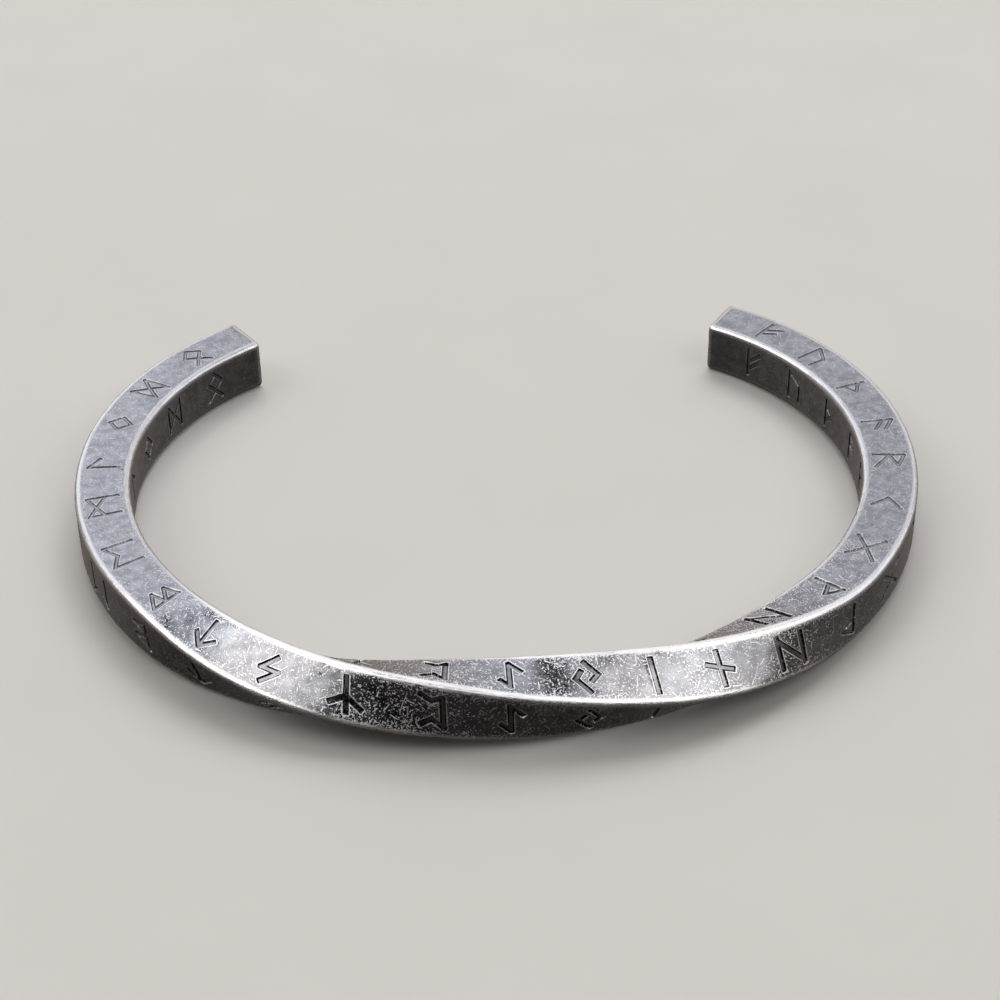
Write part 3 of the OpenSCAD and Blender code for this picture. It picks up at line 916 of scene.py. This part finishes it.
class ARMRING_OT_studio(bpy.types.Operator):
    """Makes the pale floor, the soft lamps, the dim room and the camera"""

    bl_idname = "armring.studio"
    bl_label = "Studio"

    def execute(self, context):
        setup = context.scene.studio_setup
        scene = context.scene

        mesh = bpy.data.meshes.new("floor")
        side = FLOOR_REACH
        corners = [(-side, -side, 0), (side, -side, 0), (side, side, 0), (-side, side, 0)]
        mesh.from_pydata(corners, [], [(0, 1, 2, 3)])
        floor_card = bpy.data.objects.new("floor", mesh)
        context.collection.objects.link(floor_card)
        # Matt paper: no gloss, and a cloudiness that hardly shows
        paper = bpy.data.materials.new("matt_paper")
        paper.use_nodes = True
        tree = paper.node_tree
        tree.nodes.clear()
        place = put(tree, "ShaderNodeTexCoord").node.outputs["Object"]
        clouds = put(tree, "ShaderNodeTexNoise", inputs={
            "Vector": place, "Scale": CLOUDS_PER_METRE, "Detail": 4.0})
        colours = [(*[c * share for c in setup.floor_colour], 1) for share in PAPER_SHADES]
        colour = put(tree, "ShaderNodeMix", clouds, *colours, data_type="RGBA")
        sheet = put(tree, "ShaderNodeBsdfPrincipled", inputs={
            "Base Color": colour, "Roughness": 0.9, "Specular IOR Level": 0.1})
        put(tree, "ShaderNodeOutputMaterial", sheet)
        mesh.materials.append(paper)
        # The steel doesn't mirror the floor, so the faces that look down stay dark, as in the
        # photograph
        floor_card.visible_glossy = False

        # The steel doesn't mirror the lamps, and the cards don't light the floor
        panels = [(*lamp, LAMP_TINT, "visible_glossy") for lamp in LAMPS]
        for name, azimuths, elevations, brightness, tint in CARDS:
            azimuth, elevation = sum(azimuths) / 2, sum(elevations) / 2
            reach = 2 * CARD_AWAY * cos(radians(elevation))
            width = reach * tan(radians(azimuths[1] - azimuths[0]) / 2)
            height = 2 * CARD_AWAY * tan(radians(elevations[1] - elevations[0]) / 2)
            panels.append((
                name, azimuth, elevation, CARD_AWAY, width, height, brightness, tint,
                "visible_diffuse"))
        for name, azimuth, elevation, away, width, height, brightness, tint, unseen in panels:
            lamp = bpy.data.lights.new(name, "AREA")
            lamp.shape = "RECTANGLE"
            lamp.size, lamp.size_y = width, height
            lamp.energy = brightness * pi * width * height
            lamp.color = tint
            panel = bpy.data.objects.new(name, lamp)
            context.collection.objects.link(panel)
            setattr(panel, unseen, False)
            a, e = radians(azimuth), radians(elevation)
            way = Vector((sin(a) * cos(e), cos(a) * cos(e), sin(e)))
            panel.location = way * away
            panel.rotation_euler = way.to_track_quat("Z", "Y").to_euler()

        world = bpy.data.worlds.new("room")
        world.use_nodes = True
        world.node_tree.nodes.clear()
        tree = world.node_tree
        # Dark behind the camera and straight below, and brighter towards the far side
        way = put(tree, "ShaderNodeTexCoord").node.outputs["Generated"]
        way = put(tree, "ShaderNodeSeparateXYZ", way).node.outputs
        ahead = put(tree, MAP_RANGE, way["Y"], *FAR_SIDE, 0.0, setup.room_glow)
        raised = put(tree, MAP_RANGE, way["Z"], *UPWARDS, 0.0, 1.0)
        strength = put(tree, MATH, ahead, raised, setup.room_light, operation="MULTIPLY_ADD")
        glow = put(tree, "ShaderNodeBackground", ROOM_TINT, strength)
        put(tree, "ShaderNodeOutputWorld", glow)
        scene.world = world
        scene.view_settings.view_transform = "Standard"

        # The camera stands in front and above, as in the photograph
        camera = bpy.data.objects.new("camera", bpy.data.cameras.new("camera"))
        camera.data.lens = setup.lens
        camera.data.sensor_width = SENSOR_WIDTH
        camera.data.clip_start, camera.data.clip_end = CLIP_START, CLIP_END
        context.collection.objects.link(camera)
        turn = Matrix.Rotation(radians(CAMERA_PAN), 4, "Z")
        turn = turn @ Matrix.Rotation(radians(CAMERA_TIP), 4, "X")
        turn = turn @ Matrix.Rotation(radians(CAMERA_ROLL), 4, "Z")
        camera.matrix_world = Matrix.Translation(CAMERA_PLACE) @ turn
        scene.camera = camera
        return {"FINISHED"}


class ARMRING_PT_panel(bpy.types.Panel):
    """Lists the cuff's parts and sizes"""

    bl_idname = "ARMRING_PT_panel"
    bl_label = "Arm Ring"
    bl_space_type = "VIEW_3D"
    bl_region_type = "UI"
    bl_category = "Arm Ring"

    def draw(self, context):
        for group in ("cuff_shape", "rune_cut", "steel_finish", "studio_setup"):
            settings = getattr(context.scene, group)
            box = self.layout.box()
            for name in settings.bl_rna.properties.keys():
                if name not in ("rna_type", "name"):
                    box.prop(settings, name)
        self.layout.operator(ARMRING_OT_twisted_bar.bl_idname)
        self.layout.operator(ARMRING_OT_studio.bl_idname)


CLASSES = (
    CuffShape, RuneCut, SteelFinish, StudioSetup,
    ARMRING_OT_twisted_bar, ARMRING_OT_studio, ARMRING_PT_panel,
)
GROUPS = {
    "cuff_shape": CuffShape, "rune_cut": RuneCut,
    "steel_finish": SteelFinish, "studio_setup": StudioSetup,
}


def register():
    for cls in CLASSES:
        bpy.utils.register_class(cls)
    for name, group in GROUPS.items():
        setattr(bpy.types.Scene, name, bpy.props.PointerProperty(type=group))


def unregister():
    for name in GROUPS:
        delattr(bpy.types.Scene, name)
    for cls in reversed(CLASSES):
        bpy.utils.unregister_class(cls)


def main():
    register()
    bpy.ops.armring.twisted_bar()
    bpy.ops.armring.studio()


if __name__ == "__main__":
    main()
